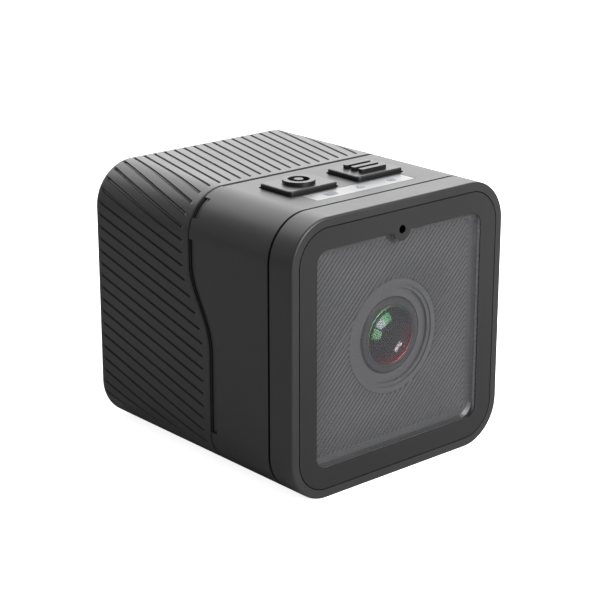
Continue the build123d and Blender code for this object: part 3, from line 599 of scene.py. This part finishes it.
def rib_lines():
    """Offset, start, end and depth of each rib along its line, clipped to the plate and its holes."""
    half, corner, hole, mic = 15.5, 1.6, 8.95, 1.95
    offset = np.arange(-33, 34) * RIB_PITCH
    reach = math.sqrt(2) * half - np.abs(offset)
    round_reach = math.sqrt(2) * (half - corner) + np.sqrt(np.clip(corner ** 2 - offset ** 2, 0, None))
    reach = np.where(np.abs(offset) < corner, np.minimum(reach, round_reach), reach)
    high = reach.copy()
    notch = MIC_RISE / math.sqrt(2)
    near = np.abs(offset - notch) < mic
    high[near] = np.minimum(high[near], notch - np.sqrt(mic ** 2 - (offset[near] - notch) ** 2))
    gap = np.sqrt(np.clip(hole ** 2 - offset ** 2, 0, None))
    split = gap > 0
    lines = np.vstack([np.stack([offset[~split], -reach[~split], high[~split]], 1),
                       np.stack([offset[split], -reach[split], -gap[split]], 1),
                       np.stack([offset[split], gap[split], high[split]], 1)])
    lines = lines[lines[:, 2] - lines[:, 1] > 0.5]
    return np.hstack([lines, np.full((len(lines), 1), PLATE_FACE)])


def rim_teeth():
    """The same lines where they cross the plate's flat rim beside the window, left and right."""
    rise = np.arange(-15, 16) * RIB_PITCH * math.sqrt(2)
    rows = []
    for edge in (-1, 1):
        inner, outer = np.sort([edge * (RIM - 0.25), edge * (RIM + 0.22)])
        offset = (rise - edge * RIM) / math.sqrt(2)
        start = inner * math.sqrt(2) + offset
        end = outer * math.sqrt(2) + offset
        rows.append(np.stack([offset, start, end, np.full_like(rise, RIM_DEPTH)], 1))
    return np.vstack(rows)


def rib_mesh(lines, width, tall, taper_mm):
    """Each rib: six points across a low half-round, at four stations that taper at both ends."""
    across = width * np.array([-0.5, -0.3, 0.0, 0.3, 0.5, 0.0])
    height = tall * np.array([0.0, 0.8, 1.0, 0.8, 0.0, -0.2])
    length = (lines[:, 2] - lines[:, 1])[:, None]
    stations = np.concatenate([0 * length, 0 * length + taper_mm, length - taper_mm, length], 1)
    stations = stations + lines[:, 1:2]
    taper = np.array([0.1, 1.0, 1.0, 0.1])
    run = stations[:, :, None] + 0 * across
    off = lines[:, 0][:, None, None] + across * np.array([0.6, 1, 1, 0.6])[:, None]
    lift = height * taper[:, None] + 0 * run
    side = (run - off) / math.sqrt(2)
    rise = (run + off) / math.sqrt(2)
    points = place(side, lines[:, 3][:, None, None] - lift, rise)
    count = len(lines)
    tube = grid_faces(4, 6, False, True)
    faces = (tube[None] + 24 * np.arange(count)[:, None, None]).reshape(-1, 4)
    caps = np.array([[0, 1, 2, 3, 4, 5], [23, 22, 21, 20, 19, 18]])
    caps = (caps[None] + 24 * np.arange(count)[:, None, None]).reshape(-1, 6)
    print("ribs:", count)
    return points, faces.tolist() + caps.tolist()


ribs = make_piece("plate_ribs", *rib_mesh(rib_lines(), 0.4, 0.13, 0.12), rib_plastic, "camera", 75.0)
teeth = make_piece("rim_teeth", *rib_mesh(rim_teeth(), 0.5, 0.07, 0.1), rib_plastic, "camera", 75.0)

# %% [markdown]
# ## Front lens element
# The outer lens is a meniscus: a dome in front, a hollow behind. Turned about the lens axis, its
# outline is a profile of radius against depth. The hollow face mirrors lights to the opposite
# side from the dome, which is why a lens shows a bright patch above and a red one below; here
# the red one is partly that mirror and partly a painted red reflection on the hollow.

# %% Front lens element
def arc_profile(rim, at_rim, at_middle, count):
    """Radius and depth along a spherical cap, from the middle out to its rim."""
    sag = at_rim - at_middle
    ball = (rim * rim + sag * sag) / (2 * abs(sag))
    angle = np.linspace(0, math.asin(min(1.0, rim / ball)), count)
    return ball * np.sin(angle), at_middle + np.sign(sag) * ball * (1 - np.cos(angle))


def lathe(name, radius, depth, finish, turns=128, closed=False, centre=0.0):
    """A profile carried once round an axis at a rise: side is radius times cosine, rise adds its sine."""
    angle = np.linspace(0, 2 * math.pi, turns, endpoint=False)
    side = np.asarray(radius)[:, None] * np.cos(angle)
    rise = np.asarray(radius)[:, None] * np.sin(angle)
    points = place(side, np.asarray(depth)[:, None] + 0 * side, rise + centre)
    faces = grid_faces(len(radius), turns, closed, True)
    return make_piece(name, points, faces, finish, "camera")


DOME_RIM, DOME_EDGE, DOME_TIP, DOME_GLASS = 4.5, 2.25, 0.95, 0.12       # radius, two depths, wall
HOLLOW_RIM, HOLLOW_EDGE, HOLLOW_DEEP, HOLLOW_GLASS = 4.3, 2.45, 3.6, 0.25
dome_r, dome_d = arc_profile(DOME_RIM, DOME_EDGE, DOME_TIP, 40)
hollow_r, hollow_d = arc_profile(HOLLOW_RIM, HOLLOW_EDGE, HOLLOW_DEEP, 36)
dome = lathe("front_lens_dome", np.concatenate([dome_r, dome_r[::-1]]),
             np.concatenate([dome_d, dome_d[::-1] + DOME_GLASS]), dome_coating_and_painted_reflection)
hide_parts("lens_front_element")
hollow = lathe("front_lens_hollow", np.concatenate([hollow_r, [4.55, 4.9, 4.9], hollow_r[::-1]]),
               np.concatenate([hollow_d, [HOLLOW_EDGE, 2.65, 3.85], hollow_d[::-1] + HOLLOW_GLASS]),
               inner_coating_painted_reflection_and_shade)

# %% [markdown]
# The coating runs out in a thin coloured line round the edge of the dome, green above and red
# below. It is a slim bevel between the glass and the ring that holds it.

# %% Coloured edge
bevel_angle = np.linspace(0, 2 * math.pi, 12, endpoint=False)
bevel = lathe("lens_edge_bevel", DOME_RIM + 0.07 * np.cos(bevel_angle), 2.18 + 0.1 * np.sin(bevel_angle),
              rim_coating, closed=True)

# %% [markdown]
# The microphone sits in a small round boss that rises from the plate to the glass. A flared skirt
# round it closes the notch in the plate, and a black woven gauze keeps dust out of its hole.

# %% Microphone skirt and gauze
skirt = lathe("microphone_skirt", [1.76, 1.8, 2.0, 2.25, 2.25, 1.76], [0.9, 0.88, 1.3, 1.57, 1.62, 1.62],
              finishes["housing_black"], turns=64, closed=True, centre=MIC_RISE)
gauze_black = moulded("acoustic_gauze", "#000000", "#020202", 0.9, 0.2, 0.004, 0.0, 0.4)
gauze = lathe("microphone_gauze", [0.0, 0.63, 0.63, 0.0], [0.12, 0.12, 0.2, 0.2], gauze_black,
              turns=48, centre=MIC_RISE)

# %% [markdown]
# ## Symbols on the status strip
# Three small printed symbols sit over the light pipes: a battery, a signal and a ringed dot.
# Print is only a few hundredths of a millimetre thick, so each is a thin flat frame or ring.

# %% Strip symbols
def flat_ring(side, depth, radius, width, start=0.0, end=360.0, squareness=2.0, stretch=1.0):
    """Thin ring or arc: inner and outer edge at two levels; higher squareness makes it boxy."""
    turn = np.radians(np.linspace(start, end, 49))
    shape = (np.abs(np.cos(turn)) ** squareness + np.abs(np.sin(turn)) ** squareness) ** (-1 / squareness)
    reach = (radius + width / 2 * np.array([-1, 1, 1, -1]))[:, None]
    level = np.array([0.0, 0.0, 0.02, 0.02])[:, None] + HALF
    return place(side + stretch * reach * shape * np.cos(turn), depth + reach * shape * np.sin(turn), level)


def symbol(name, parts, finish):
    """Several thin rings joined as one printed mark."""
    points, faces, start = [], [], 0
    for ring in parts:
        points.append(ring.reshape(-1, 3))
        faces.append(grid_faces(4, ring.shape[1], True, False, start))
        columns = ring.shape[1]
        ends = start + np.array([[0, columns, 2 * columns, 3 * columns],
                                 [4 * columns - 1, 3 * columns - 1, 2 * columns - 1, columns - 1]])
        faces.append(ends)
        start += 4 * columns
    return make_piece(name, np.vstack(points), np.vstack(faces), finish, "camera")


symbol_ink = moulded("grey_print", "#55565a", "#5e5f63", 0.5, 0.3, 0.001)
strip_at = 9.2
marks = symbol("strip_symbols", [
    flat_ring(-5.8, strip_at, 0.62, 0.2, squareness=7.0, stretch=1.5),
    flat_ring(-5.9, strip_at, 0.2, 0.36, squareness=7.0, stretch=1.6),
    flat_ring(0.0, strip_at + 0.45, 0.5, 0.2, 215, 325),
    flat_ring(0.0, strip_at + 0.45, 0.95, 0.2, 215, 325),
    flat_ring(0.0, strip_at + 0.45, 0.1, 0.19),
    flat_ring(6.5, strip_at, 0.62, 0.2),
    flat_ring(6.5, strip_at, 0.15, 0.28),
], symbol_ink)

# %% [markdown]
# ## Studio
# A pale sheet of floor under an even white world. The floor is paler to the viewer than to the
# light that bounces off it, so the ground looks white while the dark sides stay dark.

# %% Floor and world
floor_mesh = bpy.data.meshes.new("floor")
FLOOR_REACH = 18.0     # metres each way
FLOOR_DROP = 1e-5      # just under the base, so that the two never share a plane
WORLD_STRENGTH = 0.55
floor_corners = [(x * FLOOR_REACH, y * FLOOR_REACH, -FLOOR_DROP)
                 for x, y in ((-1, -1), (1, -1), (1, 1), (-1, 1))]
floor_mesh.from_pydata(floor_corners, [], [(0, 1, 2, 3)])
floor = bpy.data.objects.new("floor", floor_mesh)
bpy.context.scene.collection.objects.link(floor)
floor_paint, tree = new_finish("pale_floor")
seen = add(tree, "BsdfPrincipled", Base_Color=linear("#f0f0f0"), Roughness=0.9, Specular_IOR_Level=0.1,
           Emission_Color=(1, 1, 1, 1), Emission_Strength=0.85)
lighting = add(tree, "BsdfPrincipled", Base_Color=linear("#989898"), Roughness=0.9,
               Specular_IOR_Level=0.1)
ray = add(tree, "LightPath")
mix = add(tree, "MixShader", {0: ray.outputs["Is Camera Ray"], 1: lighting.outputs[0], 2: seen.outputs[0]})
add(tree, "OutputMaterial", {"Surface": mix.outputs[0]})
floor_mesh.materials.append(floor_paint)

world = bpy.data.worlds.new("studio")
bpy.context.scene.world = world
world.use_nodes = True
sky = world.node_tree.nodes["Background"]
sky.inputs["Color"].default_value = (1, 1, 1, 1)
sky.inputs["Strength"].default_value = WORLD_STRENGTH
print("floor", 2 * FLOOR_REACH, "m wide, world strength", WORLD_STRENGTH)

# %% [markdown]
# A broad overhead light and a panel in front light the whole body, the panel all but the lens
# dome. A large backdrop behind gives the top its long soft sheen and leaves the floor alone. The
# lens is lit apart: two panels fall on its dome only and one on its hollow only, and nothing but
# the hollow shades that one. Another falls on the ribbed plate, and a last one on the floor, to
# thin the shadow there.

# %% Lights
def panel(name, azimuth, elevation, distance, width, height, power, falls_on=None, roll=0.0, past=None):
    """A soft panel facing the front glass from an angle round it, 0 being straight ahead, with its
    distance and size in metres and its power in watts. It lights falls_on, shaded by past alone."""
    turn, lift = math.radians(azimuth), math.radians(elevation)
    way = Vector((math.sin(turn) * math.cos(lift), -math.cos(turn) * math.cos(lift), math.sin(lift)))
    lamp = bpy.data.lights.new(name, "AREA")
    lamp.shape = "RECTANGLE"
    lamp.size, lamp.size_y, lamp.energy = width, height, power
    holder = bpy.data.objects.new(name, lamp)
    bpy.context.scene.collection.objects.link(holder)
    holder.location = way * distance + Vector((0, 0, HALF * MM))
    facing = (-way).to_track_quat("-Z", "Y") @ Quaternion((0, 0, 1), math.radians(roll))
    holder.rotation_euler = facing.to_euler()
    holder.visible_camera = False
    if falls_on:
        holder.light_linking.receiver_collection = falls_on
    if past:
        holder.light_linking.blocker_collection = past


def linked(name, members, state="INCLUDE"):
    """A collection that says which objects a light falls on, or leaves out."""
    group = bpy.data.collections.new(name)
    for member in members:
        group.objects.link(member)
    for entry in group.collection_objects:
        entry.light_linking.link_state = state
    return group


not_floor = linked("all_but_the_floor", [floor], "EXCLUDE")
only_floor = linked("floor_only", [floor])
only_recess = linked("recess_only", [nodes["trim_plate"], teeth])
only_dome = linked("dome_only", [dome, bevel])
only_hollow = linked("hollow_only", [hollow])
not_lens = linked("all_but_the_lens", [dome], "EXCLUDE")
panel("overhead", 20, 78, 0.9, 0.9, 0.9, 4.0)
panel("front_panel", 8, 24, 0.6, 0.36, 0.3, 4.6, not_lens)
panel("floor_wash", 44, 42, 0.25, 0.2, 0.16, 0.9, only_floor)
panel("backdrop", 152, 31, 1.0, 1.5, 0.95, 12.0, not_floor)
panel("dome_key", 9.5, 21, 0.55, 0.54, 0.336, 2.6, only_dome)
panel("dome_low", -5, -4.6, 0.09, 0.032, 0.0285, 0.0125, only_dome)
panel("hollow_key", 10, 10.5, 0.5, 0.18, 0.06, 3.6, only_hollow, 36, only_hollow)
panel("recess_fill", -42, 20, 0.5, 0.2, 0.2, 8.0, only_recess)
print("lights:", len(bpy.data.lights))

# %% [markdown]
# ## Camera
# A long lens from the front left, a little above, looking at the front face.

# %% Camera
eye = bpy.data.cameras.new("camera")
eye.lens, eye.sensor_width, eye.clip_start, eye.clip_end = 108.47, 36.0, 0.005, 20.0
viewer = bpy.data.objects.new("camera", eye)
bpy.context.scene.collection.objects.link(viewer)
az, el = math.radians(-41.19), math.radians(18.264)
FAR = 252.56                                 # viewer to aim, in millimetres
aim = np.array([-19.91, -23.5, 31.776])      # near the front left edge, above the middle
stand = aim + FAR * np.array([math.sin(az) * math.cos(el), -math.cos(az) * math.cos(el), math.sin(el)])
viewer.location = (stand * MM).tolist()
viewer.rotation_euler = Vector((aim - stand).tolist()).to_track_quat("-Z", "Y").to_euler()
bpy.context.scene.camera = viewer
bpy.context.scene.view_settings.view_transform = "Standard"
print("camera stands at", viewer.location[:])
